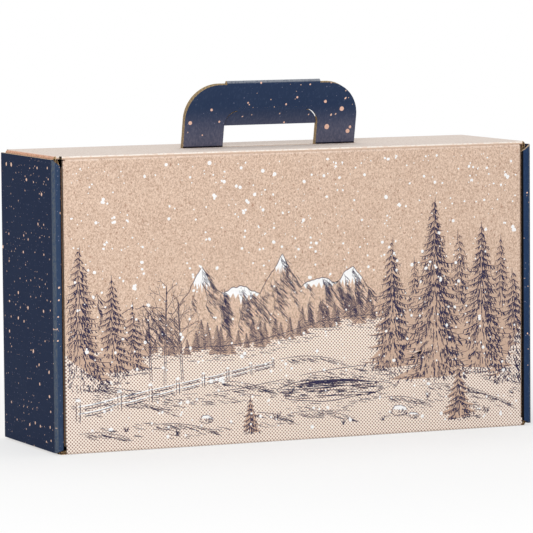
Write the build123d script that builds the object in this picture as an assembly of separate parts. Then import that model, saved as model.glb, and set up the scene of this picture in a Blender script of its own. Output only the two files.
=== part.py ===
from build123d import *
from math import cos, radians, tan
import os

# A gift box folded from one sheet of fine-flute corrugated board, standing on its long
# narrow wall, with a two-ply board handle pushed up through a slot in the top wall.
# Millimetres. X runs to the right, Y to the back, Z up. The origin is on the ground,
# under the middle of the closed box.

# Closed box, outside
box_width = 330.0
box_depth = 95.0
box_height = 185.0

# Board, creases and the play between two layers
board = 1.8
fold_inside = 0.4
board_gap = 0.3

# Side walls: an outer wall rolled over a dust flap into an inner wall
wall_top_drop = 1.9
wall_foot_lift = 1.3
strip_top_angle = 38.0
strip_foot_angle = 20.0
inner_wall_chamfer = 5.0
lock_tab_length = 28.0
lock_tab_spacing = 92.0
lock_tab_angle = 8.0
lock_tab_corner = 0.4

# Dust flaps at the ends of the top and bottom walls
dust_flap_reach = 42.0
dust_flap_setback = 4.5
dust_flap_angle = 9.0
flap_corner = 6.0

# Lid panel, which is the printed front, with its ears and tuck flap
lid_side_play = 0.9
lid_corner_drop = 0.5
top_notch = 4.5
ear_reach = 40.0
ear_foot_lift = 2.8
ear_top_drop = 2.2
ear_foot_angle = 16.0
ear_top_angle = 30.0
tuck_reach = 45.0
tuck_side_play = 2.0
tuck_side_angle = 14.0
tuck_drop_angle = 9.0

# Handle: two plies with a rounded arch, an opening and a grip flap
handle_width = 119.4
handle_height = 41.3
handle_corner = 22.5
handle_lean_angle = 12.5
handle_tilt_angle = 20.0
opening_width = 64.8
opening_height = 24.2
opening_corner = 9.3
back_opening_corner = 3.0
web_depth = 0.6
ply_gap = 0.3
grip_length = 10.1
grip_swing_angle = 12.0
grip_corner_ease = 0.7
slot_end_play = 0.6
slot_corner = 1.2
flange_reach = 26.0
flange_side_angle = 12.0

# Sizes that follow from the ones above
fold_outside = fold_inside + board
half_width = box_width / 2
half_depth = box_depth / 2
side_build = 3 * board + 2 * board_gap
inner_face_x = -half_width + side_build
side_height = box_height - wall_top_drop - wall_foot_lift
flap_face_x = -half_width + board + board_gap
top_flat_x = flap_face_x + fold_outside
crease_front_y = -half_depth + fold_outside
crease_back_y = half_depth - fold_outside
crease_top_z = box_height - fold_outside
crease_bottom_z = fold_outside
lid_edge_x = inner_face_x + lid_side_play
lid_flat_x = lid_edge_x + fold_outside
lid_top_z = box_height - board - board_gap
lid_crease_z = lid_top_z - fold_outside
handle_half = board + ply_gap / 2
handle_axis_z = box_height - board
handle_top_z = box_height + handle_height
grip_crease_z = box_height + opening_height
slot_half = (
    (box_height - handle_axis_z) * tan(radians(handle_tilt_angle))
    + handle_half / cos(radians(handle_tilt_angle))
    + board_gap
)


def block(x_span, y_span, z_span):
    """A straight piece of board between its low and high coordinates."""
    spans = (x_span, y_span, z_span)
    middle = [(low + high) / 2 for low, high in spans]
    size = [high - low for low, high in spans]
    return Pos(*middle) * Box(*size)


def crease(plane, centre, start_angle, start, length):
    """Board wrapped a quarter turn round the inside of a fold, run along the plane's normal."""
    outer = CenterArc((0, 0), fold_outside, start_angle, 90)
    inner = CenterArc((0, 0), fold_inside, start_angle, 90)
    section = make_face([outer, inner, Line(outer @ 0, inner @ 0), Line(outer @ 1, inner @ 1)])
    return extrude(plane.offset(start) * Pos(*centre) * section, length)


def flap_outline(low, high, reach, low_angle, high_angle, corner):
    """A flap laid flat: its crease runs from low to high, and its free end is narrower."""
    outline = Polyline(
        (0, low),
        (reach, low + reach * tan(radians(low_angle))),
        (reach, high - reach * tan(radians(high_angle))),
        (0, high),
        close=True,
    )
    face = make_face(outline)
    return fillet(face.vertices().group_by(Axis.X)[-1], corner)


def round_top_plate(width, low, high, corner):
    """A plate seen from the front, with its two top corners rounded."""
    plate = Pos(0, (low + high) / 2) * Rectangle(width, high - low)
    return fillet(plate.vertices().group_by(Axis.Y)[-1], corner)


def turned(shape, y, z, angle):
    """The shape turned about a line along X through y, z. A positive angle tips its top forward."""
    return shape.rotate(Axis((0, y, z), (1, 0, 0)), angle)


# Tray: back panel, the base of the sheet
def tab_middles():
    """Heights of the middles of the lock tabs on one side."""
    return [box_height / 2 + side * lock_tab_spacing / 2 for side in (-1, 1)]


def make_back_panel():
    edge_x = half_width - fold_outside
    panel = block((-edge_x, edge_x), (half_depth - board, half_depth), (crease_bottom_z, crease_top_z))
    wall_middle_x = -inner_face_x + board / 2
    for side in (-1, 1):
        for middle in tab_middles():
            slot = Box(board + 2 * board_gap, 3 * board, lock_tab_length + 2 * board_gap)
            panel -= Pos(side * wall_middle_x, half_depth, middle) * slot
    return panel


# Tray: top wall, with the long slot for the handle. The lid tucks in under its free front edge
def make_top_wall():
    wall = block((top_flat_x, -top_flat_x), (-half_depth, crease_back_y), (box_height - board, box_height))
    wall += crease(Plane.YZ, (crease_back_y, crease_top_z), 0, top_flat_x, -2 * top_flat_x)
    notch_x = inner_face_x + board_gap
    for side in (-1, 1):
        x_span = sorted((side * half_width, side * -notch_x))
        y_span = (-half_depth - board, -half_depth + top_notch)
        wall -= block(x_span, y_span, (crease_top_z, box_height + board))
    slot = Box(handle_width + 2 * slot_end_play, 2 * slot_half, 3 * board)
    slot = fillet(slot.edges().filter_by(Axis.Z), slot_corner)
    return wall - Pos(0, 0, box_height - board / 2) * slot


# Tray: bottom wall, which bends up at the front into the foot of the lid
def make_bottom_wall():
    wall = block((top_flat_x, -top_flat_x), (crease_front_y, crease_back_y), (0, board))
    wall += crease(Plane.YZ, (crease_back_y, crease_bottom_z), -90, top_flat_x, -2 * top_flat_x)
    return wall + crease(Plane.YZ, (crease_front_y, crease_bottom_z), 180, lid_edge_x, -2 * lid_edge_x)


# Tray: left side, rolled over at the front edge and locked into the back panel
def make_outer_wall():
    z_span = (wall_foot_lift, wall_foot_lift + side_height)
    wall = block((-half_width, -half_width + board), (crease_front_y, crease_back_y), z_span)
    corner = (-half_width + fold_outside, crease_back_y)
    return wall + crease(Plane.XY, corner, 90, wall_foot_lift, side_height)


def make_rollover_strip():
    outer_corner = -half_width + fold_outside
    inner_corner = inner_face_x - fold_outside
    strip = block(
        (outer_corner, inner_corner),
        (-half_depth, -half_depth + board),
        (wall_foot_lift, wall_foot_lift + side_height),
    )
    strip += crease(Plane.XY, (outer_corner, crease_front_y), 180, wall_foot_lift, side_height)
    strip += crease(Plane.XY, (inner_corner, crease_front_y), 270, wall_foot_lift, side_height)
    cutter = Box(4 * side_build, 4 * side_build, 4 * side_build)
    above = Pos(2 * side_build, 0, 2 * side_build) * cutter
    strip -= Pos(-half_width, -half_depth, wall_foot_lift + side_height) * Rot(Y=strip_top_angle) * above
    below = Pos(2 * side_build, 0, -2 * side_build) * cutter
    return strip - Pos(-half_width, -half_depth, wall_foot_lift) * Rot(Y=-strip_foot_angle) * below


def make_inner_wall():
    z_span = (board + board_gap, box_height - board - board_gap)
    wall = block((inner_face_x - board, inner_face_x), (crease_front_y, half_depth - board), z_span)
    front_corners = wall.edges().filter_by(Axis.X).group_by(Axis.Y)[0]
    return chamfer(front_corners, inner_wall_chamfer)


def make_lock_tabs():
    tabs = []
    for middle in tab_middles():
        half = lock_tab_length / 2
        outline = flap_outline(-half, half, board, lock_tab_angle, lock_tab_angle, lock_tab_corner)
        root = Plane((inner_face_x - board, half_depth - board, middle), x_dir=(0, 1, 0), z_dir=(1, 0, 0))
        tabs.append(extrude(root * outline, board))
    return Compound(children=tabs)


def make_dust_flap(at_top):
    """A dust flap hangs from an end of the top wall, or stands up from an end of the bottom wall."""
    half_crease = half_depth - dust_flap_setback
    outline = flap_outline(
        -half_crease, half_crease, dust_flap_reach, dust_flap_angle, dust_flap_angle, flap_corner
    )
    crease_z = crease_top_z if at_top else crease_bottom_z
    reach_direction = (0, 0, -1) if at_top else (0, 0, 1)
    root = Plane((flap_face_x, 0, crease_z), x_dir=reach_direction, z_dir=(1, 0, 0))
    bend_angle = 90 if at_top else 180
    bend = crease(Plane.XZ, (top_flat_x, crease_z), bend_angle, -half_crease, 2 * half_crease)
    return extrude(root * outline, board) + bend


# Lid: printed panel, hinged at its foot, with its creases, two ears and a tuck flap
ear_low_z = crease_bottom_z + ear_foot_lift
ear_high_z = lid_crease_z - ear_top_drop
tuck_half = -lid_flat_x - tuck_side_play


def make_lid_panel():
    panel = block(
        (lid_flat_x, -lid_flat_x), (-half_depth, -half_depth + board), (crease_bottom_z, lid_crease_z)
    )
    panel += crease(Plane.YZ, (crease_front_y, lid_crease_z), 90, lid_flat_x, -2 * lid_flat_x)
    side_bend_height = lid_top_z - lid_corner_drop - ear_low_z
    panel += crease(Plane.XY, (lid_flat_x, crease_front_y), 180, ear_low_z, side_bend_height)
    return panel + crease(Plane.XY, (-lid_flat_x, crease_front_y), 270, ear_low_z, side_bend_height)


def make_lid_ear():
    outline = flap_outline(ear_low_z, ear_high_z, ear_reach, ear_foot_angle, ear_top_angle, flap_corner)
    root = Plane((lid_edge_x, crease_front_y, 0), x_dir=(0, 1, 0), z_dir=(1, 0, 0))
    return extrude(root * outline, board)


def make_tuck_flap():
    outline = flap_outline(-tuck_half, tuck_half, tuck_reach, tuck_side_angle, tuck_side_angle, flap_corner)
    root = Plane((0, crease_front_y, lid_top_z - board), x_dir=(0, 1, 0), z_dir=(0, 0, 1))
    flap = extrude(root * outline, board)
    return turned(flap, crease_front_y, lid_top_z - board, -tuck_drop_angle)


# Handle: drawn upright, then leaned forward about the crease at its foot. The back ply has the
# squarer opening, so that the grip flap can swing right through it
def make_handle_ply(front_y, crease_play, corner):
    low = handle_axis_z - handle_half
    arch = round_top_plate(handle_width, low, handle_top_z, handle_corner)
    opening_low = box_height - web_depth
    arch -= round_top_plate(opening_width, opening_low, grip_crease_z + crease_play, corner)
    ply = extrude(Plane.XZ.offset(-front_y) * arch, -board)
    body = block(
        (-handle_width, handle_width), (-handle_half, handle_half), (handle_axis_z, 2 * handle_top_z)
    )
    foot = Pos(0, 0, handle_axis_z) * Rot(Y=90) * Cylinder(handle_half, 2 * handle_width)
    return turned(ply & (body + foot), 0, handle_axis_z, handle_lean_angle)


def make_handle_top_fold():
    outer = CenterArc((0, 0), handle_half, 0, 180)
    inner = CenterArc((0, 0), ply_gap / 2, 0, 180)
    section = make_face([outer, inner, Line(outer @ 0, inner @ 0), Line(outer @ 1, inner @ 1)])
    fold = extrude(Plane.YZ.offset(-opening_width / 2) * Pos(0, handle_top_z) * section, opening_width)
    return turned(fold, 0, handle_axis_z, handle_lean_angle)


def make_grip_flap():
    corner = opening_corner + grip_corner_ease
    width = opening_width - 2 * board_gap
    outline = round_top_plate(width, grip_crease_z - grip_length, grip_crease_z, corner)
    flap = extrude(Plane.XZ.offset(handle_half) * outline, -board)
    swung = turned(flap, -ply_gap / 2, grip_crease_z, grip_swing_angle)
    return turned(swung, 0, handle_axis_z, handle_lean_angle)


def make_flange(direction):
    """A flange of the handle, glued flat under the top wall on one side of the slot."""
    half = handle_width / 2
    outline = flap_outline(-half, half, flange_reach, flange_side_angle, flange_side_angle, flap_corner)
    root_y = direction * (handle_half + board_gap)
    root = Plane((0, root_y, box_height - 2 * board), x_dir=(0, direction, 0), z_dir=(0, 0, 1))
    return extrude(root * outline, board)


pieces = {
    "back_panel": make_back_panel(),
    "top_wall": make_top_wall(),
    "bottom_wall": make_bottom_wall(),
    "lid_panel": make_lid_panel(),
    "lid_tuck_flap": make_tuck_flap(),
    "handle_front_ply": make_handle_ply(-handle_half, 0, opening_corner),
    "handle_back_ply": make_handle_ply(ply_gap / 2, board_gap, back_opening_corner),
    "handle_top_fold": make_handle_top_fold(),
    "handle_grip_flap": make_grip_flap(),
    "handle_front_flange": make_flange(-1),
    "handle_back_flange": make_flange(1),
}

left_pieces = {
    "outer_wall": make_outer_wall(),
    "rollover_strip": make_rollover_strip(),
    "inner_wall": make_inner_wall(),
    "lock_tabs": make_lock_tabs(),
    "top_dust_flap": make_dust_flap(True),
    "bottom_dust_flap": make_dust_flap(False),
    "lid_ear": make_lid_ear(),
}
for name, shape in left_pieces.items():
    pieces["left_" + name] = shape
    pieces["right_" + name] = mirror(shape, about=Plane.YZ)

os.makedirs("parts", exist_ok=True)
for name, shape in pieces.items():
    export_step(shape, f"parts/{name}.step")
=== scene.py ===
import math
import random

import bmesh
import bpy
import numpy as np
from mathutils import Matrix, Vector


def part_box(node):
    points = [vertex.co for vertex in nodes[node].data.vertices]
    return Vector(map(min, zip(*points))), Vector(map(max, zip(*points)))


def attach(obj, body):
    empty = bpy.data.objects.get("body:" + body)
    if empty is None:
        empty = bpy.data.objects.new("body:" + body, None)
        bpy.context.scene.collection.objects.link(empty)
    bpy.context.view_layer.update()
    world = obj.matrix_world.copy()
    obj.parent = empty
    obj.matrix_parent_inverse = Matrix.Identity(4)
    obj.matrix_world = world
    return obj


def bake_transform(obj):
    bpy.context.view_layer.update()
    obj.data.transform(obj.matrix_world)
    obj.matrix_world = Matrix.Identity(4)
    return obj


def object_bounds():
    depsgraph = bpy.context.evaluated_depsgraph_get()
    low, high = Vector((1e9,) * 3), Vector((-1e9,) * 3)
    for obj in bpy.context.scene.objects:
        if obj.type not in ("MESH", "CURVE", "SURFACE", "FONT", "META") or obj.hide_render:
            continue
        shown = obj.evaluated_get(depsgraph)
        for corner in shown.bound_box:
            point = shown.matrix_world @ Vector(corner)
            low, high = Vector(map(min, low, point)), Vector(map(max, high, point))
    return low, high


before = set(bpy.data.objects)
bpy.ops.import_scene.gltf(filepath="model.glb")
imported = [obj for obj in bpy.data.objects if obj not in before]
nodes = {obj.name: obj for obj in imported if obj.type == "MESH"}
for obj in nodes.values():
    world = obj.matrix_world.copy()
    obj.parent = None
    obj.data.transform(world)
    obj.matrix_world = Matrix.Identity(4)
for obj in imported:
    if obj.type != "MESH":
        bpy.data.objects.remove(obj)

cad_low, cad_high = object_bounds()
MM = 0.001


# Kraft board: the back panel, bottom wall, inner walls and lock tabs of the folded sheet, and the
# handle's feet. It is fine-flute corrugated board with bare brown liners, die-cut and creased, so
# its cut edges show two liners with a wavy sheet between them.
class Socket:
    """A socket in a tree of nodes. Sums on it add Math nodes."""

    def __init__(self, tree, socket):
        self.tree = tree
        self.socket = socket

    def node(self, kind, settings=None, inputs=None, output=0):
        """Any other shader node: its type, its settings, then the values or links of its sockets."""
        made = self.tree.nodes.new("ShaderNode" + kind)
        for name, value in (settings or {}).items():
            setattr(made, name, value)
        for name, value in (inputs or {}).items():
            if isinstance(value, Socket):
                self.tree.links.new(value.socket, made.inputs[name])
            else:
                made.inputs[name].default_value = value
        return Socket(self.tree, made.outputs[output])

    def math(self, operation, *values):
        return self.node("Math", {"operation": operation}, dict(enumerate(values)))

    def __add__(self, other):
        return self.math("ADD", self, other)

    def __sub__(self, other):
        return self.math("SUBTRACT", self, other)

    def __rsub__(self, other):
        return self.math("SUBTRACT", other, self)

    def __mul__(self, other):
        return self.math("MULTIPLY", self, other)

    def __gt__(self, other):
        return self.math("GREATER_THAN", self, other)

    def __lt__(self, other):
        return self.math("LESS_THAN", self, other)

    def __abs__(self):
        return self.math("ABSOLUTE", self)

    __radd__ = __add__
    __rmul__ = __mul__

    def wave(self, length, start=0.0):
        """A wave from -1 to 1 that repeats each length."""
        return self.math("COSINE", self * (2 * math.pi / length) + start)

    def step(self, low, high):
        """A soft step from 0 to 1 as the value goes from low to high."""
        return self.node("MapRange", {"interpolation_type": "SMOOTHSTEP"}, {"Value": self, 1: low, 2: high})

    def scaled(self, x, y, z):
        """The vector with each axis stretched."""
        return self.node("VectorMath", {"operation": "MULTIPLY"}, {0: self, 1: (x, y, z)})

    def moved(self, other):
        """The vector moved by another one."""
        return self.node("VectorMath", {"operation": "ADD"}, {0: self, 1: other})

    def axis(self, index):
        """One of the vector's three numbers."""
        return self.node("SeparateXYZ", {}, {0: self}, index)

    def noise(self, scale, detail, rough):
        sockets = {"Vector": self, "Scale": scale, "Detail": detail, "Roughness": rough}
        return self.node("TexNoise", {}, sockets)

    def colour(self, shade):
        """A plain colour to start mixing from."""
        made = self.node("RGB")
        made.socket.default_value = shade
        return made

    def mix(self, mask, other):
        """This colour, going over to the other one where the mask is 1."""
        settings = {"data_type": "RGBA", "clamp_factor": True}
        return self.node("Mix", settings, {0: mask, 6: self, 7: other}, 2)


def linear(red, green, blue):
    """A colour as picked on screen, 0 to 255, as the light that Blender wants."""
    return tuple(((c / 255 + 0.055) / 1.055) ** 2.4 for c in (red, green, blue)) + (1.0,)


def tinted(base, red, green, blue):
    """A colour picked on screen, with a share of each of its three parts."""
    return linear(*(min(255, part * share) for part, share in zip(base, (red, green, blue))))


def start_finish(name):
    """A new material, its shader, and its object coordinates and normal to hang patterns on."""
    material = bpy.data.materials.new(name)
    material.use_nodes = True
    tree = material.node_tree
    coordinates = tree.nodes.new("ShaderNodeTexCoord")
    place = Socket(tree, coordinates.outputs["Object"])
    facing = Socket(tree, coordinates.outputs["Normal"])
    return material, tree.nodes["Principled BSDF"], place, facing


def finish(shader, colour, roughness, height, distance, shine):
    """Join the colour, the roughness and a bump from a height pattern to the shader."""
    tree = colour.tree
    bump = colour.node("Bump", {}, {"Strength": 1.0, "Distance": distance, "Height": height})
    tree.links.new(colour.socket, shader.inputs["Base Color"])
    tree.links.new(roughness.socket, shader.inputs["Roughness"])
    tree.links.new(bump.socket, shader.inputs["Normal"])
    shader.inputs["Specular IOR Level"].default_value = shine


board = 1.8 * MM
flute_pitch = 3.2 * MM


def cut_layers(place, depth):
    """Colour of a cut edge: liner, waving flute with painted shade in its hollows, liner."""
    share = depth * (1.0 / board)
    liner = abs(share - 0.5) > 0.36
    along = place.axis(0) + place.axis(1) * 0.9 + place.axis(2)
    flute = abs(share - 0.5 + along.wave(flute_pitch) * 0.28) < 0.13
    # Painted shade: the hollows between the flute and the liners are painted dark brown.
    hollow_shade = place.colour(linear(74, 56, 40))
    layers = hollow_shade.mix(flute, linear(176, 142, 98))
    return layers.mix(liner, linear(214, 184, 142))


def kraft_face(place, base, fibre_axis):
    """Brown liner: finely mottled, with short pale and dark fibres lying mostly one way."""
    along = [1450.0, 1450.0, 1450.0]
    along[fibre_axis] = 1100.0
    coarser = [scale * 0.58 for scale in along]
    fibre = place.scaled(*along).noise(1.0, 3.0, 0.75)
    grain = place.scaled(*coarser).moved((3.1, 7.7, 1.3)).noise(1.0, 2.0, 0.6)
    cloud = place.noise(60.0, 2.0, 0.6)
    fleck = place.noise(560.0, 1.0, 0.4).step(0.69, 0.74)
    darker = tinted(base, 0.80, 0.76, 0.74)
    paler = tinted(base, 1.12, 1.16, 1.20)
    face = place.colour(linear(*base))
    face = face.mix(cloud.step(0.4, 0.7) * 0.15, darker)
    face = face.mix(grain.step(0.50, 0.64) * 0.55, darker)
    face = face.mix((1.0 - grain.step(0.36, 0.47)) * 0.45, paler)
    face = face.mix(fibre.step(0.53, 0.64) * 0.75, paler)
    face = face.mix((1.0 - fibre.step(0.36, 0.47)) * 0.75, darker)
    return face.mix(fleck * 0.55, tinted(base, 0.70, 0.57, 0.52)), fibre


def board_thickness(node_name):
    """The axis through the board of a flat piece, and where its low face lies on it."""
    low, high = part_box(node_name)
    sizes = [high[i] - low[i] for i in range(3)]
    through = sizes.index(min(sizes))
    return through, low[through]


def kraft_board(node_name, base, back_shade=None):
    """A finish for one flat kraft piece, with the layers of the board on its cut edges. Its side
    to the back of the box can have a shade of its own."""
    material, shader, place, facing = start_finish(node_name + "_finish")
    face, fibre = kraft_face(place, base, 2)
    if back_shade:
        face = face.mix(facing.axis(1).step(0.2, 0.6), kraft_face(place, back_shade, 2)[0])
    through, start = board_thickness(node_name)
    layers = cut_layers(place, place.axis(through) - start)
    cut = 1.0 - abs(facing.axis(through)).step(0.02, 0.10)
    finish(shader, face.mix(cut, layers), fibre.step(0.2, 0.9) * 0.12 + 0.80, fibre, 0.05 * MM, 0.25)
    return material


def dress(node_name, material):
    """Give a CAD piece its finish."""
    piece = nodes[node_name]
    piece.data.materials.clear()
    piece.data.materials.append(material)


bare_kraft = (204, 174, 146)
dress("back_panel", kraft_board("back_panel", bare_kraft, (220, 190, 167)))
tray_pieces = ["bottom_wall", "handle_front_flange", "handle_back_flange"]
for side in ("left_", "right_"):
    tray_pieces += [side + "inner_wall", side + "lock_tabs"]
for name in tray_pieces:
    dress(name, kraft_board(name, bare_kraft))


# Dust flaps: the ends of the top and bottom walls, folded round into the double side walls. Where the fold
# shows above the navy wall the liner is a redder kraft, and its faces that look up are painted with the top's
# pale sheen.
def folded_board(node_name, base, top_sheen_colour):
    material, shader, place, facing = start_finish(node_name + "_finish")
    face, fibre = kraft_face(place, base, 1)
    # Painted sheen: faces that look up take the top's colour, which holds a painted grazing sheen.
    face = face.mix(facing.axis(2).step(0.80, 0.99) * 0.85, linear(*top_sheen_colour))
    outer_face = max(abs(corner[0]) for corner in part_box(node_name))
    layers = cut_layers(place, abs(place.axis(0)) - (outer_face - board))
    cut = abs(facing.axis(1)).step(0.5, 0.9)
    finish(shader, face.mix(cut, layers), fibre.step(0.2, 0.9) * 0.12 + 0.80, fibre, 0.05 * MM, 0.2)
    return material


# The colour of the top's upper face, paler with a painted grazing sheen.
top_sheen_paper = (225, 212, 202)
fold_kraft = (216, 166, 138)
for side in ("left_", "right_"):
    name = side + "top_dust_flap"
    dress(name, folded_board(name, fold_kraft, top_sheen_paper))
    name = side + "bottom_dust_flap"
    dress(name, folded_board(name, bare_kraft, bare_kraft))


# Top wall: the same sheet, its outer liner smoother, and its top painted paler with a painted grazing sheen.
# Its front edge is cut, rubbed and painted with a highlight along the top, with a faint line of painted shade
# just behind it, and notched at both corners, which are painted near black as shade over the layers. In front
# of the handle's slot the top is painted redder in blotches.
front_kraft = (222, 193, 171)


def make_top_finish():
    material, shader, place, facing = start_finish("top_finish")
    mottled, fibre = kraft_face(place, top_sheen_paper, 0)
    face = place.colour(linear(*top_sheen_paper)).mix(0.5, mottled)
    x, y, z = abs(place.axis(0)), place.axis(1), place.axis(2)
    blotch = place.noise(420.0, 2.0, 0.6)

    # Painted shade: a faint darker line just behind the front edge, the shade of the gap to the lid's fold.
    line_front, line_back = cad_low[1] + 0.4 * MM, cad_low[1] + 1.2 * MM
    painted_gap_shade = (y - line_front).step(-0.2 * MM, 0.1 * MM) * (y < line_back)
    face = face.mix(painted_gap_shade * 0.45, linear(176, 152, 138))
    # In front of the handle's slot the top is painted redder in blotches.
    slot_end, slot_front, red_depth = 60.2 * MM, -2.6 * MM, 2.4 * MM
    red_before_slot = (x < slot_end) * (y > slot_front - red_depth) * (y < slot_front)
    face = face.mix(red_before_slot * blotch.step(0.3, 0.6) * 0.8, linear(178, 112, 96))

    # Painted highlight: the top of the front edge is rubbed and painted pale in blotches.
    rubbed_highlight = place.colour(linear(255, 246, 236)).mix(blotch.step(0.45, 0.6) * 0.7, linear(240, 216, 198))
    edge = place.colour(linear(*front_kraft)).mix(fibre.step(0.4, 0.6) * 0.4, linear(204, 172, 148))
    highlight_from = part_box("top_wall")[1][2] - 0.85 * MM
    edge = edge.mix((z - highlight_from).step(-0.2 * MM, 0.2 * MM), rubbed_highlight)
    face = face.mix(1.0 - facing.axis(1).step(-0.6, -0.4), edge)

    end = abs(facing.axis(0)).step(0.2, 0.5)
    pulled = place.colour(linear(212, 170, 144)).mix(fibre.step(0.4, 0.6) * 0.5, linear(184, 142, 118))
    face = face.mix(end, pulled)
    # Painted shade: the ends in the corner notches are painted near black, with pale diagonal layer lines.
    lines = (z + y * 0.6).wave(1.1 * MM).step(0.5, 0.9)
    layers = place.colour(linear(24, 18, 12)).mix(lines * 0.7, linear(132, 112, 70))
    notch_shade = x > 150.0 * MM
    face = face.mix(end * notch_shade, layers)

    face = face.mix(1.0 - facing.axis(2).step(-0.7, -0.3), kraft_face(place, bare_kraft, 0)[0])
    finish(shader, face, fibre.step(0.2, 0.9) * 0.12 + 0.80, fibre, 0.04 * MM, 0.2)
    return material


dress("top_wall", make_top_finish())


# Navy side walls with their rolled front strips: the outer liner is printed solid navy, with the kraft left
# bare in a fine random spatter. Their cut ends show the board's pale layers, and the strips are rubbed along
# their fold and painted nearly black with shade where they turn in beside the lid. The walls are painted a
# darker navy than the strips, as painted shade.
def specks(spot, spacing, least, most, share, clumps=0.0):
    """Random round specks on a flat pattern, sized in millimetres: at most one to a cell, in some
    of the cells only."""
    spacing, least, most = spacing * MM, least * MM, most * MM
    wobble = spot.noise(1.4 / spacing, 1.0, 0.5) * (0.22 * spacing)
    push = spot.node("VectorMath", {"operation": "SCALE"}, {0: (1.0, 1.0, 0.0), "Scale": wobble})
    settings = {"voronoi_dimensions": "2D"}
    sockets = {"Vector": spot.moved(push), "Scale": 1.0 / spacing, "Randomness": 0.9}
    distance = spot.node("TexVoronoi", settings, sockets, "Distance") * spacing
    chance = spot.node("TexVoronoi", settings, sockets, "Color")
    grown = chance.node("SeparateColor", {}, {0: chance}, 0)
    size = grown * grown * (most - least) + least
    picked = chance.node("SeparateColor", {}, {0: chance}, 1)
    if clumps:
        picked = picked + (1.0 - spot.noise(clumps, 1.0, 0.5).step(0.42, 0.58)) * 0.25
    return (size - distance).step(-0.08 * MM, 0.12 * MM) * (picked < share)


def navy_face(place, base, seed, largest=1.3, busy=1.0):
    """Solid navy print over fibres, with bare kraft specks of several sizes."""
    flat = place.node("CombineXYZ", {}, {0: place.axis(0) + place.axis(1), 1: place.axis(2)})
    spot = flat.moved((seed * 0.37, seed * 0.21, 0.0))
    cloud = place.noise(45.0, 3.0, 0.6)
    fibre = place.scaled(900.0, 900.0, 420.0).noise(1.0, 3.0, 0.65)
    face = place.colour(linear(*base))
    face = face.mix(cloud.step(0.35, 0.7) * 0.30, tinted(base, 1.25, 1.18, 1.08))
    face = face.mix(fibre.step(0.52, 0.75) * 0.5, tinted(base, 1.6, 1.45, 1.28))
    face = face.mix(specks(spot, 3.1, 0.12, 0.36, 0.42 * busy) * 0.5, linear(156, 158, 182))
    face = face.mix(specks(spot, 4.6, 0.20, 0.50, 0.40 * busy, 28.0) * 0.9, linear(232, 198, 176))
    large = specks(spot, 9.0, 0.45, largest, 0.28 + 0.22 * busy, 20.0)
    return face.mix(large, linear(245, 205, 182)), fibre


def navy_board(node_name, base, seed):
    """A finish for one navy piece: print on its faces, pale layers on its cut ends."""
    material, shader, place, facing = start_finish(node_name + "_finish")
    face, fibre = navy_face(place, base, seed)
    through, start = board_thickness(node_name)
    layers = cut_layers(place, place.axis(through) - start).mix(0.45, linear(226, 208, 184))
    if node_name.endswith("strip"):
        x = abs(place.axis(0))
        inner_edge, outer_edge = sorted(abs(corner[0]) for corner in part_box(node_name))
        rub = place.scaled(1300.0, 1300.0, 500.0).noise(1.0, 2.0, 0.7)
        folded = (x - (outer_edge - board)).step(-0.3 * MM, 0.3 * MM)
        face = face.mix(folded * (rub.step(0.35, 0.65) * 0.7 + 0.15), linear(92, 98, 104))
        # Painted shade: the strip's edge beside the lid is painted nearly black.
        gap_shade = 1.0 - (x - (inner_edge + 0.75 * MM)).step(-0.2 * MM, 0.2 * MM)
        face = face.mix(gap_shade, linear(16, 14, 16))
    cut = abs(facing.axis(2)).step(0.18, 0.25)
    finish(shader, face.mix(cut, layers), fibre.step(0.2, 0.9) * 0.10 + 0.66, fibre, 0.04 * MM, 0.08)
    return material


# Painted shade: the walls have a darker navy than the strips, which face the lamp. The left strip is paler
# than the right.
wall_navy_with_shade = {"left_outer_wall": (27, 40, 68), "right_outer_wall": (30, 44, 74)}
strip_shades = {"left_rollover_strip": (49, 67, 96), "right_rollover_strip": (36, 57, 91)}
for shades, seed in ((wall_navy_with_shade, 1.0), (strip_shades, 1.3)):
    for name, shade in shades.items():
        dress(name, navy_board(name, shade, seed))


# Lid panel: the front of the box, kraft liner outside. Its lower part is printed with rows of cream and brown
# dots, like fallen snow on a slope. It bends up from the bottom wall at its foot, and the pale edge at its
# top is the fold of the tuck flap, rubbed and painted with a highlight. Its two ends are painted with a
# nearly black shadow.
slope_height = 68
# Each swell of the far slope: its rise and length in mm, and where it starts.
slope_swells = ((7, 55, 0.5), (3, 23, 0.0))


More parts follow.
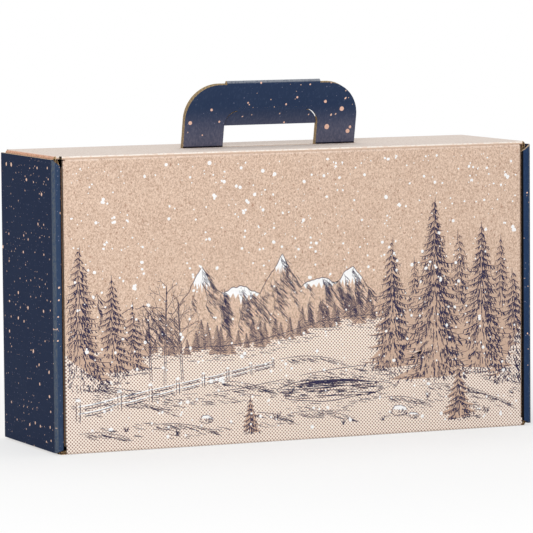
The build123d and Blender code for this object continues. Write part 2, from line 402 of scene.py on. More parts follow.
def make_front_finish():
    material, shader, place, facing = start_finish("front_finish")
    face, fibre = kraft_face(place, front_kraft, 2)
    lid_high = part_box("lid_panel")[1]
    u, v = place.axis(0), place.axis(2)

    dot_rows = 2.25 * MM
    dots = (u.wave(dot_rows) * v.wave(dot_rows)).step(-0.58, -0.02)
    turn = 2 * math.pi * MM
    swells = (u.wave(long * turn, start - math.pi / 2) * (rise * MM) for rise, long, start in slope_swells)
    snow = (sum(swells, slope_height * MM) - v).step(-0.4 * MM, 0.4 * MM)
    shade = place.noise(30.0, 2.0, 0.5).step(0.35, 0.7)
    dotted = place.colour(linear(144, 102, 92)).mix(dots, linear(255, 242, 229))
    dotted = dotted.mix(shade * (1.0 - dots) * 0.3, linear(140, 116, 112))
    face = face.mix(snow * 0.95, dotted)

    outside = 1.0 - facing.axis(1).step(-0.3, 0.2)
    face = face.mix(1.0 - outside, kraft_face(place, bare_kraft, 2)[0])
    # Painted highlight: the rubbed top edge is painted pale in blotches.
    rub = place.noise(420.0, 2.0, 0.6).step(0.35, 0.6)
    rubbed_highlight = (v - (lid_high[2] - 1.0 * MM)).step(-0.3 * MM, 0.4 * MM) * outside * (rub * 0.5 + 0.1)
    face = face.mix(rubbed_highlight, linear(250, 228, 212))
    # Painted shadow: both ends of the lid, beside the strips, are painted nearly black.
    end_shadow = (abs(u) - (lid_high[0] - 0.35 * MM)).step(-0.2 * MM, 0.2 * MM)
    face = face.mix(end_shadow * 0.85, linear(30, 20, 16))
    finish(shader, face, fibre.step(0.2, 0.9) * 0.12 + 0.78, fibre, 0.05 * MM, 0.25)
    return material


def add_piece(name, shape, material):
    """A new object from a bmesh or a finished mesh."""
    mesh = shape
    if isinstance(shape, bmesh.types.BMesh):
        mesh = bpy.data.meshes.new(name)
        shape.to_mesh(mesh)
        shape.free()
    mesh.name = name
    mesh.materials.clear()
    mesh.materials.append(material)
    piece = bpy.data.objects.new(name, mesh)
    bpy.context.scene.collection.objects.link(piece)
    return piece


def pull_out(shape, face, step):
    """Pull a face out by a step, which makes it a closed slab."""
    pulled = bmesh.ops.extrude_face_region(shape, geom=[face])
    moved = [v for v in pulled["geom"] if isinstance(v, bmesh.types.BMVert)]
    bmesh.ops.translate(shape, vec=step, verts=moved)


def fold_skin(name, outline, half_length, material):
    """The outer liner where it runs over a fold: a thin strip, from its outline of y and z in mm."""
    liner = bmesh.new()
    face = liner.faces.new([liner.verts.new((-half_length * MM, y * MM, z * MM)) for y, z in outline])
    pull_out(liner, face, (2 * half_length * MM, 0, 0))
    bmesh.ops.recalc_face_normals(liner, faces=liner.faces)
    piece = add_piece(name, liner, material)
    return piece


def round_points(y, z, radius, angles):
    return [(y + radius * math.cos(math.radians(a)), z + radius * math.sin(math.radians(a))) for a in angles]


front_finish = make_front_finish()
dress("lid_panel", front_finish)

# The liner over the hinge crease at the lid's foot.
lid_half = 158.1
crease_y, crease_z, skin_end = -45.3, 2.2, 5.6
outer, inner = 2.25, 2.22
foot_angles = list(range(250, 179, -10))
skin = round_points(crease_y, crease_z, outer, foot_angles)
skin += [(crease_y - outer, skin_end), (crease_y - inner, skin_end)]
skin += round_points(crease_y, crease_z, inner, foot_angles[::-1])
hinge_liner = fold_skin("lid_hinge_liner", skin, lid_half, front_finish)
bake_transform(hinge_liner)

# The liner over the fold at the lid's top moves with the lid.
fold_front, fold_top, fold_low, fold_round = -47.52, 183.16, 180.0, 0.35
skin = [(fold_front, fold_low)]
skin += round_points(fold_front + fold_round, fold_top - fold_round, fold_round, range(180, 89, -15))
skin += [(-46.6, fold_top), (-45.2, 182.92), (-45.2, 182.0), (-46.6, fold_low)]
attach(fold_skin("lid_top_fold", skin, lid_half - 1.5, front_finish), "lid")


# Tuck flap and ears: the lid's other three edges, folded on creases. The flap tucks in under the
# top wall, and the ears slide in beside the inner walls. They are bare kraft on both sides.
for name in ("lid_tuck_flap", "left_lid_ear", "right_lid_ear"):
    dress(name, kraft_board(name, bare_kraft))


# Nearest firs of the print: a snowy hillside in thin navy pen lines, printed on the lid's liner
# before the sheet is cut. Lengths here are millimetres on the panel, u to the right and v up, and
# nearer things are drawn first, so that they hide the ones behind.
ink = random.Random(7)
panel_half, panel_low, panel_high = 157.0, 5.7, 181.0
grid_step, grid_left, grid_wide, grid_tall = 0.25, -170, 340, 200
covered = np.zeros((int(grid_tall / grid_step), int(grid_wide / grid_step)), dtype=bool)
pen_lines = []
snow_shapes = []
wash_shapes = []


def cover(outline):
    """Hide what is drawn later behind this outline."""
    edges = list(zip(outline, outline[1:] + outline[:1]))
    first_u, last_u = (int((pick(p[0] for p in outline) - grid_left) / grid_step) for pick in (min, max))
    first_v, last_v = (int(pick(p[1] for p in outline) / grid_step) for pick in (min, max))
    first_u, first_v = max(first_u, 0), max(first_v, 0)
    us = (np.arange(first_u, last_u + 2) * grid_step + grid_left)[None, :]
    vs = (np.arange(first_v, last_v + 2) * grid_step)[:, None]
    inside = np.zeros((vs.shape[0], us.shape[1]), dtype=bool)
    for (ua, va), (ub, vb) in edges:
        if va != vb:
            inside ^= ((va > vs) != (vb > vs)) & (us < (ub - ua) * (vs - va) / (vb - va) + ua)
    window = covered[first_v:first_v + inside.shape[0], first_u:first_u + inside.shape[1]]
    window |= inside[:window.shape[0], :window.shape[1]]


def in_view(u, v):
    if abs(u) > panel_half or not panel_low < v < panel_high:
        return False
    return not covered[int(v / grid_step), int((u - grid_left) / grid_step)]


def pen(points, width):
    """One pen line, a little shaky, thinner at its ends and broken where something nearer hides it."""
    shake = 0.12
    run = []
    last = len(points) - 1
    for index, (u, v) in enumerate(points):
        u += ink.uniform(-shake, shake)
        v += ink.uniform(-shake, shake)
        if in_view(u, v):
            run.append((u, v, width / 2 * (1 - 0.5 * abs(2 * index / last - 1) ** 3)))
        elif run:
            pen_lines.append(run)
            run = []
    pen_lines.append(run)


def bow(start, end, sag, steps=4):
    """Points from start to end on a curve that sags by the given depth half way."""
    (ua, va), (ub, vb) = start, end
    shares = [i / steps for i in range(steps + 1)]
    return [(ua + (ub - ua) * s, va + (vb - va) * s - sag * 4 * s * (1 - s)) for s in shares]


def fir(foot_u, foot_v, height, spread, width, needles):
    """A fir: skirts of drooping boughs from the tip down, each with hanging needles."""
    whorls = int(height / 4.6) + 3
    lean = ink.uniform(-0.02, 0.02)
    left_side, right_side = [], []
    pen(bow((foot_u, foot_v + height + 1.5), (foot_u, foot_v + height * 0.9), 0.0), width)
    for level in range(whorls):
        share = (level + 0.7) / whorls
        middle = foot_u + lean * height * (1 - share)
        top = foot_v + height * (1 - share * 0.94)
        reach = spread * share ** 0.82 * ink.uniform(0.82, 1.12)
        droop = reach * 0.42 + 0.5
        count = 3 + int(reach / 2.2)
        tips = []
        for index in range(count):
            way = 2 * index / (count - 1) - 1
            way += ink.uniform(-0.10, 0.10)
            length = reach * (0.75 + 0.35 * ink.random())
            sink = droop * (0.8 + 0.5 * ink.random())
            end = (middle + way * length, top - sink + abs(way) * droop * 0.35)
            bough = bow((middle, top + 0.6), end, 0.10 * length * (2 * abs(way) - 1), 5)
            bough[-1] = (bough[-1][0], bough[-1][1] + 0.05 * length)
            pen(bough, width)
            tips.append(end)
            for _ in range(int(needles * length / 4) + 1):
                share_out = ink.uniform(0.25, 1.0)
                u, v = bough[min(5, int(share_out * 5))]
                hang = ink.uniform(0.9, 2.6) * (0.5 + height / 120)
                swing = way * hang * ink.uniform(0.2, 0.9)
                shadow = 1.45 if way > 0 else 0.85
                needle = bow((u, v), (u + swing, v - hang), 0.1 * hang, 2)
                pen(needle, width * shadow * ink.uniform(0.7, 1.1))
        cover([(middle, top + 0.3)] + [(u, v + 0.6) for u, v in tips])
        left_side += [tips[0], (middle - reach * 0.45, tips[0][1] - 0.5)]
        right_side += [tips[-1], (middle + reach * 0.5, tips[-1][1] - 0.5)]
        if level % 2:
            for _ in range(int(reach * needles * 0.5)):
                u = middle + ink.uniform(-0.25, 0.6) * reach
                v = top - droop * ink.uniform(0.9, 1.4)
                end = (u + ink.uniform(-0.3, 1.0), v - ink.uniform(1.0, 2.4))
                pen(bow((u, v), end, 0.0, 2), width * 1.2)
    wash_shapes.append([(foot_u, foot_v + height)] + right_side + left_side[::-1])
    trunk = height * 0.035 + 0.3
    for side in (-0.5, 0, 0.5):
        u = foot_u + side * trunk
        pen([(u, foot_v + height * 0.07), (u, foot_v - 0.5)], width * 1.3)
    skirt = spread * 0.8
    cover([(foot_u - skirt, foot_v + 2), (foot_u, foot_v + height), (foot_u + skirt, foot_v + 2)])
    for _ in range(int(spread * 2)):
        u = foot_u + ink.uniform(-0.6, 1.3) * spread
        start = (u, foot_v - ink.uniform(0, 2))
        pen(bow(start, (u + ink.uniform(2, 5), foot_v - ink.uniform(0, 2)), 0.2, 3), width * 0.8)


fir(112, 9, 36, 13, 0.40, 3.2)
fir(-34, 5, 24, 8.5, 0.38, 3.0)


# Rocks and grass of the print: small rocks with caps of snow, which are printed white over the
# lines, and tufts of dry grass through the snow.
def rock(middle_u, middle_v, size):
    """A rock, dark on its right side."""
    count = 9
    edge = []
    for index in range(count):
        angle = 2 * math.pi * index / count
        reach = size * ink.uniform(0.85, 1.15)
        edge.append((middle_u + reach * math.cos(angle), middle_v + reach * 0.55 * math.sin(angle)))
    pen(edge + edge[:1], 0.42)
    for _ in range(int(size * 5)):
        u = middle_u + ink.uniform(-0.1, 0.9) * size
        v = middle_v - ink.uniform(-0.2, 0.45) * size
        pen(bow((u, v), (u - 0.5, v - ink.uniform(0.6, 1.6)), 0.0, 2), 0.36)
    snow_shapes.append([(u, v) for u, v in edge if v > middle_v - 0.01 * size])
    cover(edge)


def tuft(u, v, size):
    for _ in range(9):
        lean = ink.uniform(-0.7, 0.7)
        foot = (u + ink.uniform(-1, 1), v)
        pen(bow(foot, (u + lean * size, v + size * ink.uniform(0.6, 1.1)), 0.2, 3), 0.30)


rock(70, 15, 6.0)
rock(80, 11.5, 3.6)
rock(-64, 17, 4.6)
tufts = ((58, 9), (90, 22), (-16, 14), (-118, 12), (-84, 8), (30, 8), (140, 28), (-6, 30), (132, 10))
for u, v in tufts:
    tuft(u, v, ink.uniform(3.0, 5.0))


# Fence of the print: split rails on posts that get smaller with distance, with snow lying along
# the rails and on the posts.
def fence(start, end, posts):
    (start_u, start_v), (end_u, end_v) = start, end
    shares = [(i / (posts - 1)) ** 0.8 for i in range(posts)]
    feet = [(start_u + (end_u - start_u) * s, start_v + (end_v - start_v) * s, 1 - 0.55 * s) for s in shares]
    for u, v, near in feet:
        half, tall = 1.3 * near, 13.0 * near
        lean = ink.uniform(-0.5, 0.5)
        left, right = u - half, u + half
        outline = [(left, v), (left + lean, v + tall), (right + lean, v + tall * 0.97), (right, v - 0.4)]
        pen(bow(outline[0], outline[1], 0.0, 6), 0.42)
        pen(bow(outline[3], outline[2], 0.0, 6), 0.48)
        for _ in range(int(tall * 1.2)):
            spot = v + ink.uniform(0, tall)
            pen([(u + ink.uniform(0.0, 0.8) * half, spot), (u + 0.8 * half, spot - 0.9)], 0.34)
        cap = [(-1.5, -0.3), (1.5, -0.3), (1.1, 1.2 * near), (0, 1.9 * near), (-1.2, 1.1 * near)]
        snow_shapes.append([(u + half * across + lean, v + tall + up) for across, up in cap])
        cover(outline)
    for height in (9.0, 4.5):
        for (ua, va, near_a), (ub, vb, near_b) in zip(feet, feet[1:]):
            a, b = (ua, va + height * near_a), (ub, vb + height * near_b)
            sag = ink.uniform(0.2, 0.8)
            upper = bow(a, b, sag, 6)
            lower = [(u, v - 1.7 * (near_a + near_b) / 2) for u, v in upper]
            pen(upper, 0.36)
            pen(lower, 0.50)
            for _ in range(int((ub - ua) * 0.9)):
                s = ink.random()
                u, v = a[0] + (b[0] - a[0]) * s, a[1] + (b[1] - a[1]) * s - sag
                pen([(u, v - 0.8), (u + 1.6, v - 0.8)], 0.28)
            snow_top = [(u, v + 1.0 * near_a) for u, v in upper[::-1]]
            snow_shapes.append([(u, v + 0.15) for u, v in upper] + snow_top)
            cover(upper + lower[::-1])


fence((-150, 20), (-18, 47), 8)


# Pond of the print: frozen, with dark still ice under its far bank, paler towards the middle.
# Short strokes round its rim are the edge of the bank.
def pond(middle_u, middle_v, half_long, half_wide):
    rim = []
    for index in range(40):
        angle = 2 * math.pi * index / 40
        reach = 1 + 0.10 * math.sin(3 * angle + 1) + 0.05 * math.sin(7 * angle)
        u = middle_u + half_long * reach * math.cos(angle)
        rim.append((u, middle_v + half_wide * reach * math.sin(angle)))
    pen(rim + rim[:1], 0.5)
    for _ in range(int(half_long * 9)):
        v = middle_v + half_wide * (1 - 1.7 * ink.random() ** 2.0)
        room = half_long * math.sqrt(max(0.0, 1 - ((v - middle_v) / half_wide) ** 2)) * 0.97
        u = middle_u + ink.uniform(-room, room)
        reach = min(ink.uniform(2, 9), middle_u + room - u)
        if reach > 0.8:
            pen(bow((u, v), (u + reach, v), 0.1, 3), 0.42)
    cover(rim)
    for _ in range(50):
        angle = ink.uniform(0, 2 * math.pi)
        u = middle_u + half_long * 1.15 * math.cos(angle)
        v = middle_v + half_wide * 1.25 * math.sin(angle)
        pen(bow((u, v), (u + ink.uniform(1.5, 5), v + ink.uniform(-1, 0.4)), 0.3, 3), 0.30)


pond(22, 31, 38, 6.5)


# Woods of the print: two rows of firs on the right, a group on the left, and three bare birches,
# pale trunks with dark marks, and twigs that fork as they rise.
def birch(foot_u, foot_v, height, lean):
    def twig(u, v, angle, length, width):
        end = (u + length * math.sin(angle), v + length * math.cos(angle))
        pen(bow((u, v), end, ink.uniform(-0.05, 0.05) * length, 3), width)
        if length > 3.0:
            for turn in (-1, 1):
                next_angle = angle + turn * ink.uniform(0.25, 0.6)
                twig(*end, next_angle, length * ink.uniform(0.55, 0.75), width * 0.8)

    top = (foot_u + lean * height, foot_v + height)
    for side in (-0.7, 0.7):
        pen(bow((foot_u + side, foot_v), (top[0] + side * 0.2, top[1]), 0.0, 12), 0.42)
    for _ in range(int(height * 0.7)):
        share = ink.random()
        u = foot_u + lean * height * share + ink.uniform(-0.6, 0.2)
        v = foot_v + height * share
        pen(bow((u, v), (u + ink.uniform(0.4, 0.9), v + 0.1), 0.1, 2), 0.45)
    for level in range(9):
        share = 0.35 + 0.65 * level / 8
        angle = (1 if level % 2 else -1) * ink.uniform(0.5, 0.9)
        u, v = foot_u + lean * height * share, foot_v + height * share
        twig(u, v, angle, height * 0.20 * (1.35 - share), 0.34)
    cover([(foot_u - 0.8, foot_v), top, (foot_u + 0.8, foot_v)])


for u, v, height, spread in ((96, 38, 112, 30), (66, 43, 82, 23), (129, 41, 92, 26), (151, 34, 68, 21)):
    fir(u, v, height, spread, 0.38, 3.2)
for u, v, height, spread in ((81, 52, 60, 16), (112, 50, 78, 20), (143, 52, 72, 18)):
    fir(u, v, height, spread, 0.32, 2.4)
birch(-92, 40, 62, 0.03)
birch(-80, 42, 50, -0.05)
birch(-101, 43, 44, -0.04)
for u, v, height, spread in ((-148, 44, 84, 23), (-127, 49, 60, 17), (-113, 52, 40, 12)):
    fir(u, v, height, spread, 0.36, 3.0)


# Near slope of the print: snow drifts, each with its crest in one line and slanting strokes on
# the side away from the light, and patches of short strokes along the slope's edge and below it.
def drift(u, v, length, fall):
    crest = bow((u, v), (u + length, v - fall), -0.07 * length, 16)
    pen(crest, 0.34)
    for _ in range(int(length * 0.8)):
        start_u, start_v = crest[ink.randint(2, 15)]
        start_v -= ink.uniform(0.3, 2.2)
        reach = ink.uniform(2.5, 7.5)
        pen(bow((start_u, start_v), (start_u + reach, start_v - 0.42 * reach), 0.3, 4), 0.28)


def near_hill(u):
    """Height of the near slope, in millimetres."""
    return 45 + 9 * math.sin(u / 70 - 0.8) + 3 * math.sin(u / 31 + 1)


def slope_line(height, low_u, high_u, width):
    steps = int((high_u - low_u) / 2.5)
    marks = [low_u + (high_u - low_u) * i / steps for i in range(steps + 1)]
    pen([(u, height(u)) for u in marks], width)


def hatch(low_u, high_u, base, depth, lean, count, width):
    """A patch of short slanting strokes under a line."""
    for _ in range(count):
        u = ink.uniform(low_u, high_u)
        v = base(u) - ink.uniform(0.5, depth)
        reach = ink.uniform(2.0, 6.0)
        pen(bow((u, v), (u + reach, v - lean * reach), ink.uniform(-0.3, 0.5)), width)


def cover_below(height):
    cover([(-160, 0)] + [(u, height(u)) for u in range(-160, 164, 4)] + [(160, 0)])


drifts = (
    (-140, 31, 55, 9), (-104, 15, 48, 7), (-66, 40, 50, 9), (-44, 19, 40, 6), (-8, 17, 46, 5),
    (44, 49, 42, 8), (84, 30, 50, 8), (58, 24, 34, 6), (112, 24, 38, 9), (-14, 52, 45, 4),
    (-156, 42, 40, 7), (-150, 12, 34, 4), (126, 34, 30, 5),
)
for u, v, length, fall in drifts:
    drift(u, v, length, fall)
for low_u, high_u in ((-156, -70), (-60, -10), (0, 50), (75, 156)):
    slope_line(near_hill, low_u, high_u, 0.42)
for centre in range(-140, 150, 17):
    spread = ink.uniform(8, 16)
    hatch(centre - spread, centre + spread, near_hill, ink.uniform(5, 12), 0.18, 22, 0.30)
for centre in range(-145, 150, 21):
    shift = ink.uniform(12, 34)
    hatch(centre - 12, centre + 12, lambda u, down=shift: near_hill(u) - down, 6, 0.22, 16, 0.30)
cover_below(near_hill)


# Far slope of the print: a wood of distant firs, each of short drooping strokes to both sides
# from its tip down, along the slope where the dots end.
def far_hill(u):
    """Height of the farthest slope, in millimetres: where the dots end."""
    return sum((rise * math.sin(u / long + start) for rise, long, start in slope_swells), slope_height)


def far_fir(foot_u, foot_v, height):
    outline = [(foot_u, foot_v + height)]
    rows = int(height / 1.3) + 2
    for side in (1, -1):
        edge = []
        for row in range(1, rows + 1):
            reach = height * 0.30 * (row / rows) ** 0.85 * ink.uniform(0.75, 1.15)
            v = foot_v + height * (1 - row / rows)
            edge.append((foot_u + side * reach, v))
            inner, outer = foot_u + side * reach * 0.6, foot_u + side * reach
            pen([(foot_u, v + 0.5 * reach + 0.5), (inner, v + 0.3), (outer, v)], 0.36)
            if side > 0:
                pen([(foot_u + 0.2 * reach, v + 0.6), (foot_u + 0.7 * reach, v - 0.2)], 0.42)
        outline += edge[::side]
    pen([(foot_u, foot_v + height), (foot_u, foot_v - 0.6)], 0.36)
    wash_shapes.append(outline)


for u in range(-112, 62, 5):
    spot = u + ink.uniform(-2, 2)
    far_fir(spot, far_hill(spot) - ink.uniform(1, 6), ink.uniform(8, 19))
slope_line(far_hill, -156, 156, 0.40)
for centre in range(-140, 150, 15):
    hatch(centre - 9, centre + 9, far_hill, 9, 0.12, 14, 0.26)
cover_below(far_hill)


# Mountains of the print: a far range in thin lines, with ragged snow round each peak and hatched
# rock on its right side.
def broken(start, end, depth):
    """A rocky edge between two points: split in the middle again and again, each time a little off."""
    if depth == 0:
        return [end]
    reach = math.dist(start, end) * 0.13
    middle_u = (start[0] + end[0]) / 2 + ink.uniform(-0.2, 0.2) * reach
    middle = (middle_u, (start[1] + end[1]) / 2 + ink.uniform(-reach, reach))
    return broken(start, middle, depth - 1) + broken(middle, end, depth - 1)


def mountains(peaks):
    ridge = [peaks[0]]
    tops = [0]
    for (ua, va), (ub, vb) in zip(peaks, peaks[1:]):
        dip_u = ua + (ub - ua) * ink.uniform(0.4, 0.6)
        dip = (dip_u, min(va, vb) - (ub - ua) * ink.uniform(0.14, 0.24))
        ridge += broken((ua, va), dip, 4) + broken(dip, (ub, vb), 4)
        tops.append(len(ridge) - 1)
    pen(ridge, 0.42)
    for top in tops[1:-1]:
        peak_u, peak_v = ridge[top]
        drop = ink.uniform(8, 12)
        first, last = top, top
        while ridge[first - 1][1] > peak_v - drop and peak_u - ridge[first - 1][0] < 13:
            first -= 1
        while ridge[last + 1][1] > peak_v - drop and ridge[last + 1][0] - peak_u < 13:
            last += 1
        crown = [(u, v - 0.25) for u, v in ridge[first:last + 1]]
        (left_u, left_v), (right_u, right_v) = crown[0], crown[-1]
        teeth = []
        for index in range(1, 14):
            share = index / 14
            tooth = ink.uniform(2.5, 7.5) if index % 2 else ink.uniform(-0.8, 1.2)
            sink = tooth * math.sin(math.pi * share) ** 0.5
            u = right_u + (left_u - right_u) * share
            teeth.append((u, right_v + (left_v - right_v) * share - sink))
        if all(in_view(*point) for point in crown + teeth):
            snow_shapes.append(crown + teeth)
        roots = [(peak_u + 0.4, peak_v - 1)] + [(u + 0.3, v - 0.5) for u, v in ridge[top:last + 5:3]]
        roots += [(peak_u + ink.uniform(-11, 15), peak_v - drop - ink.uniform(1, 8)) for _ in range(6)]
        for u, v in roots:
            spur = [(u, v)]
            for _ in range(ink.randint(3, 8)):
                if spur[-1][1] > far_hill(u) + 6:
                    spur.append((spur[-1][0] + ink.uniform(-1.6, 2.6), spur[-1][1] - ink.uniform(2.0, 4.0)))
            if len(spur) > 1:
                pen(spur, 0.28)
            for at_u, at_v in spur[1:]:
                for _ in range(5):
                    run = ink.uniform(0.8, 4.2)
                    start = (at_u + ink.uniform(-0.5, 0.8), at_v + ink.uniform(-1.6, 1.6))
                    end = (start[0] + run, start[1] - run * ink.uniform(0.8, 1.2))
                    pen(bow(start, end, 0.1, 3), 0.26)
    cover([(ridge[0][0], 30)] + ridge + [(ridge[-1][0], 30)])


mountains([
    (-168, 84), (-137, 99), (-104, 90), (-66, 113), (-40, 100),
    (-11, 119), (16, 103), (38, 109), (74, 92), (168, 70),
])


# Ink lines: the pen lines of the print, in one navy ink, worn a little on the coarse liner. They
# stand a hair proud of the board.
def stand_on_lid(depth):
    """The move that stands a flat drawing in mm up on the front of the lid."""
    front = Matrix.Translation((0, cad_low[1] - depth * MM, 0))
    return front @ Matrix.Rotation(math.pi / 2, 4, "X") @ Matrix.Scale(MM, 4)


def add_curve(name, data):
    maker = bpy.data.objects.new(name, data)
    bpy.context.scene.collection.objects.link(maker)
    return maker


def make_ink_lines():
    material, shader, place, _ = start_finish("navy_ink")
    patch = place.noise(160.0, 2.0, 0.6).step(0.35, 0.7)
    worn = place.noise(2600.0, 1.0, 0.5).step(0.62, 0.72)
    colour = place.colour(linear(50, 48, 82)).mix(patch * 0.6, linear(72, 62, 84))
    colour = colour.mix(worn * 0.4, linear(150, 126, 122))
    finish(shader, colour, patch * 0.1 + 0.7, worn, 0.02 * MM, 0.2)

    nib = bpy.data.curves.new("nib", "CURVE")
    nib.dimensions = "2D"
    outline = nib.splines.new("POLY")
    outline.points.add(2)
    for point, (x, y) in zip(outline.points, ((-1, -0.04), (1, -0.04), (0, 0.12))):
        point.co = (x, y, 0, 1)
    outline.use_cyclic_u = True
    nib_piece = add_curve("nib", nib)

    depth, lines_each = 0.018, 4500
    lines = [line for line in pen_lines if len(line) > 1]
    for number, start in enumerate(range(0, len(lines), lines_each)):
        drawing = bpy.data.curves.new("pen", "CURVE")
        drawing.dimensions = "3D"
        drawing.twist_mode = "Z_UP"
        drawing.bevel_mode = "OBJECT"
        drawing.bevel_object = nib_piece
        drawing.use_fill_caps = True
        for line in lines[start:start + lines_each]:
            spline = drawing.splines.new("POLY")
            spline.points.add(len(line) - 1)
            for point, (u, v, half) in zip(spline.points, line):
                point.co = (u, v, 0, 1)
                point.radius = half
        maker = add_curve("maker", drawing)
        mesh = bpy.data.meshes.new_from_object(maker.evaluated_get(bpy.context.evaluated_depsgraph_get()))
        bpy.data.objects.remove(maker)
        mesh.transform(stand_on_lid(depth))
        piece = add_piece("ink_lines_%d" % (number + 1), mesh, material)
        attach(piece, "lid")
    bpy.data.objects.remove(nib_piece)


make_ink_lines()


# Brown wash: a thin brown tint under the firs' lines, printed flat inside each fir's outline. It
# lies mottled on the coarse liner. Like the other prints it starts a hair clear of the board.
print_gap = 0.001


def flat_shapes(shapes, base, layer):
    """Thin closed slabs from outlines, in nine heights by turns, so that neighbours share no face."""
    flat = bmesh.new()
    for number, shape in enumerate(shapes):
        inner = [(u, v) for u, v in shape if abs(u) < panel_half and panel_low < v < panel_high]
        if len(inner) < 3:
            continue
        height = base + layer * (number % 9)
        face = flat.faces.new([flat.verts.new((u, v, print_gap)) for u, v in inner])
        pull_out(flat, face, (0, 0, height))
    bmesh.ops.recalc_face_normals(flat, faces=flat.faces)
    bmesh.ops.triangulate(flat, faces=flat.faces, quad_method="BEAUTY", ngon_method="EAR_CLIP")
    return flat


def print_on_lid(name, flat, material):
    """Stand a flat print, drawn in mm with z outward, on the front of the lid, and let it ride."""
    bmesh.ops.transform(flat, matrix=stand_on_lid(0), verts=flat.verts)
    piece = add_piece(name, flat, material)
    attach(piece, "lid")


def make_brown_wash():
    material, shader, place, _ = start_finish("brown_wash")
    patch = place.noise(240.0, 3.0, 0.6)
    grain = place.noise(1500.0, 2.0, 0.6)
    colour = place.colour(linear(214, 185, 164)).mix(patch.step(0.4, 0.6) * 0.6, linear(200, 169, 149))
    colour = colour.mix(grain.step(0.48, 0.62) * 0.5, linear(178, 147, 132))
    finish(shader, colour, patch * 0.1 + 0.75, grain, 0.02 * MM, 0.2)
    return material


print_on_lid("printed_wash", flat_shapes(wash_shapes, 0.003, 0.0007), make_brown_wash())


# Snow and flakes: opaque white ink, printed last. The snow lies on the peaks, the fence and the
# rocks, and round flakes of many sizes fall over the whole front, some in small clumps.
def make_white_ink():
    material, shader, place, _ = start_finish("white_ink")
    patch = place.noise(900.0, 2.0, 0.6).step(0.3, 0.7)
    colour = place.colour(linear(255, 255, 255)).mix(patch * 0.3, linear(238, 236, 236))
    finish(shader, colour, patch * 0.1 + 0.7, patch, 0.02 * MM, 0.2)
    return material


def make_flakes():
    count, clump_share = 780, 0.07
    flakes = bmesh.new()
    fall = random.Random(21)
    for _ in range(count):
        size = 0.34 + 1.05 * fall.random() ** 2.2
        u, v = fall.uniform(-154, 154), 178 - 171 * fall.random() ** 1.2
        clump = fall.random() < clump_share
        for _ in range(4 if clump else 1):
            reach, turn = 0.9 * size * clump, fall.uniform(0, 6.3)
            tall = fall.uniform(0.03, 0.06)
            spot = (u + reach * math.cos(turn), v + reach * math.sin(turn), tall / 2 + print_gap)
            radius = size * fall.uniform(0.7, 1.1)
            place = Matrix.Translation(spot) @ Matrix.Rotation(turn, 4, "Z")
            bmesh.ops.create_cone(
                flakes, cap_ends=True, segments=9, radius1=radius, radius2=radius * 0.85, depth=tall,
                matrix=place @ Matrix.Diagonal((1, fall.uniform(0.75, 1.0), 1, 1)))
    return flakes


white_ink = make_white_ink()
print_on_lid("printed_snow", flat_shapes(snow_shapes, 0.011, 0.0006), white_ink)
print_on_lid("printed_flakes", make_flakes(), white_ink)


# Handle: two plies of board joined by a fold over the top, printed navy like the walls and
# die-cut with an arch and a grip opening. It leans forward. Its cut edges are bare and show the
# layers of both plies, and a few large specks of kraft are bare in the print: x, z and radius in mm.
bare_spots = [
    (49, 207.4, 1.15), (37, 212.5, 0.8), (39.5, 196, 1.3), (54.5, 192.8, 1.1), (56, 195.4, 0.7),
    (-56, 201, 0.95), (-42, 209, 0.65), (-36, 201.3, 0.55), (9.5, 211.3, 0.5), (17, 215.7, 0.55),
    (10, 199.6, 0.5), (-9, 225.6, 0.5), (40, 224.7, 0.45), (-17, 213, 0.45), (-47, 193, 0.4),
]
handle_lean = math.radians(12.5)
handle_foot = 183.2
handle_half = 1.95


def handle_board(node_name, base, seed):
    """A finish for one handle piece: navy print on its leaned faces, bare layers on its cuts.
    The fold on top is cut at its two ends only, and its crest is rubbed to the pale paper."""
    material, shader, place, facing = start_finish(node_name + "_finish")
    face, fibre = navy_face(place, base, seed, 0.8, 0.45)
    y, z = place.axis(1), place.axis(2)
    across = facing.axis(1) * math.cos(handle_lean) + facing.axis(2) * math.sin(handle_lean)
    depth = y * math.cos(handle_lean) + (z - handle_foot * MM) * math.sin(handle_lean) + handle_half * MM
    ply_pitch = 2.1 * MM
    in_ply = depth.math("FRACT", depth * (1 / ply_pitch)) * ply_pitch
    layers = cut_layers(place, in_ply).mix(0.4, linear(168, 150, 112))
    cut = 1.0 - abs(across).step(0.55, 0.65)
    if node_name == "handle_top_fold":
        cut = abs(facing.axis(0)).step(0.5, 0.8)
        crest = facing.axis(2).step(0.0, 0.5) * (place.noise(700.0, 2.0, 0.6).step(0.3, 0.6) * 0.5 + 0.5)
        face = face.mix(crest, linear(138, 142, 150))
    # Painted sheen: towards its foot the handle is painted greyer in streaks.
    foot_sheen = 1.0 - z.step(188 * MM, 212 * MM)
    face = face.mix(foot_sheen * (fibre.step(0.25, 0.75) * 0.35 + 0.30), linear(126, 122, 138))
    ragged = place.noise(700.0, 1.0, 0.5) * (0.5 * MM)
    for spot_x, spot_z, size in bare_spots:
        sockets = {0: place.scaled(1.0, 0.0, 1.0), 1: (spot_x * MM, 0.0, spot_z * MM)}
        away = place.node("VectorMath", {"operation": "DISTANCE"}, sockets, "Value") + ragged
        bare = 1.0 - (away - (1.25 * size + 0.25) * MM).step(-0.1 * MM, 0.1 * MM)
        face = face.mix(bare, linear(240, 196, 176))
    # Painted shadow: the handle's lowest part, down in the slot, is painted nearly black.
    slot_shadow = 1.0 - z.step(185.6 * MM, 186.2 * MM)
    face = face.mix(slot_shadow, linear(18, 18, 26))
    finish(shader, face.mix(cut, layers), fibre.step(0.2, 0.9) * 0.10 + 0.60, fibre, 0.04 * MM, 0.08)
    return material


for name in ("handle_front_ply", "handle_back_ply", "handle_top_fold", "handle_grip_flap"):
    dress(name, handle_board(name, (42, 57, 86), 4.3))


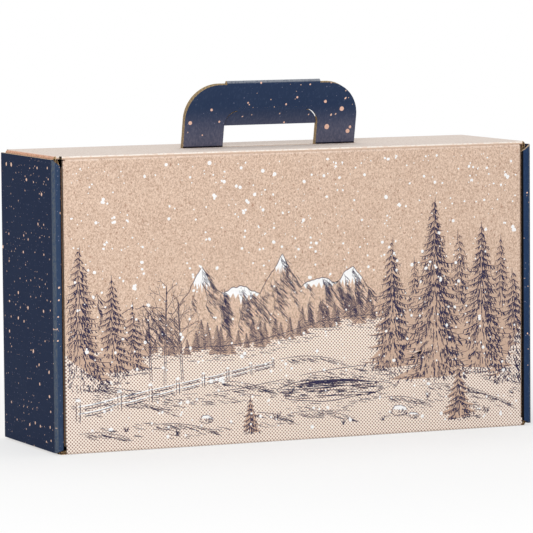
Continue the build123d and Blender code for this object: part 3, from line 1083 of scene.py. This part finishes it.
# Grip crease: the navy liner runs on from the front ply over the crease of the grip flap, which swings back
# from the fingers.
def grip_skin():
    """Its outline of y and z in mm: outer face and inner face, worked out upright and then leaned."""
    crease_z, pivot_y, swing = 209.2, -0.15, math.radians(12)
    upright = []
    for proud in (0.05, 0.02):
        front = -handle_half - proud
        reach = front - pivot_y
        band = [(front, crease_z + rise) for rise in (1.6, 0.8, 0.1)]
        flap = [(pivot_y + reach * math.cos(swing) + fall * math.sin(swing),
                 crease_z + reach * math.sin(swing) - fall * math.cos(swing)) for fall in (0.1, 0.8, 1.6)]
        upright.append(band + flap)
    outer, inner = upright
    return [(y * math.cos(handle_lean) - (z - handle_foot) * math.sin(handle_lean),
             handle_foot + y * math.sin(handle_lean) + (z - handle_foot) * math.cos(handle_lean))
            for y, z in outer + inner[::-1]]


skin = grip_skin()
navy_finish = nodes["handle_front_ply"].data.materials[0]
grip_liner = fold_skin("grip_crease_liner", skin, 24.0, navy_finish)
band_end, flap_start = ((0, y * MM, z * MM) for y, z in skin[2:4])
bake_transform(grip_liner)


# Floor: the paper that the box stands on, a broad pale sweep. It glows to the camera, more so
# farther out, so that it melts into the white around it.
def seen_by(start, *kinds):
    """1 for rays of these kinds, and 0 for the others."""
    rays = [start.node("LightPath", {}, {}, "Is %s Ray" % kind) for kind in kinds]
    return sum(rays[1:], rays[0])


def make_floor():
    sheet = bmesh.new()
    bmesh.ops.create_grid(sheet, x_segments=1, y_segments=1, size=9.0)
    material, shader, place, _ = start_finish("floor_white")
    shader.inputs["Base Color"].default_value = (0.86, 0.86, 0.86, 1.0)
    shader.inputs["Roughness"].default_value = 0.9
    shader.inputs["Specular IOR Level"].default_value = 0.0
    glow = place.node("Emission", {}, {"Color": (1, 1, 1, 1), "Strength": 1.0})
    away = place.node("VectorMath", {"operation": "LENGTH"}, {0: place}, "Value").step(0.15, 0.55) * 0.4 + 0.6
    rays = seen_by(place, "Camera", "Glossy", "Transmission")
    matt = Socket(place.tree, shader.outputs[0])
    blend = place.node("MixShader", {}, {0: rays * away, 1: matt, 2: glow})
    place.tree.links.new(blend.socket, place.tree.nodes["Material Output"].inputs[0])
    floor = add_piece("floor", sheet, material)


make_floor()


# Light: a soft white room, one broad lamp in front, high and to the left, and a weaker one above.
# The room lights the box softly, and the camera sees it as plain white.
def make_room():
    world = bpy.data.worlds.new("studio")
    world.use_nodes = True
    bpy.context.scene.world = world
    tree = world.node_tree
    soft = tree.nodes["Background"]
    soft.inputs["Color"].default_value = (1.0, 1.0, 1.0, 1.0)
    soft.inputs["Strength"].default_value = 0.55
    room = Socket(tree, soft.outputs[0])
    white = room.node("Background", {}, {"Color": (1, 1, 1, 1), "Strength": 1.0})
    blend = room.node("MixShader", {}, {0: seen_by(room, "Camera", "Transmission"), 1: room, 2: white})
    tree.links.new(blend.socket, tree.nodes["World Output"].inputs[0])


def make_lamp(name, place, aim, width, power):
    light = bpy.data.lights.new(name, "AREA")
    light.shape = "SQUARE"
    light.size = width
    light.energy = power
    lamp = bpy.data.objects.new(name, light)
    lamp.location = place
    lamp.rotation_euler = (Vector(aim) - Vector(place)).to_track_quat("-Z", "Y").to_euler()
    bpy.context.scene.collection.objects.link(lamp)


make_room()
make_lamp("key", (-1.0, -1.5, 1.0), (0.0, 0.0, 0.1), 1.0, 17.0)
make_lamp("top", (0.2, 0.4, 1.7), (0.0, 0.0, 0.15), 1.2, 9.0)


# Camera: a long lens a little above the box, turned to the right, as in the photograph. Its place,
# turn and lens are fitted to the box's corners there.
def make_camera():
    lens = bpy.data.cameras.new("camera")
    lens.sensor_width = 36.0
    lens.lens = 272.06
    lens.clip_end = 40.0
    camera = bpy.data.objects.new("camera", lens)
    yaw, pitch, roll = (math.radians(angle) for angle in (23.42, -4.93, -0.49))
    turn = Matrix.Rotation(-yaw, 4, "Z") @ Matrix.Rotation(math.pi / 2 + pitch, 4, "X")
    place = Matrix.Translation((-1.0269, -2.3672, 0.3295))
    camera.matrix_world = place @ turn @ Matrix.Rotation(roll, 4, "Z")
    bpy.context.scene.collection.objects.link(camera)
    bpy.context.scene.camera = camera


make_camera()
bpy.context.scene.view_settings.view_transform = "Standard"
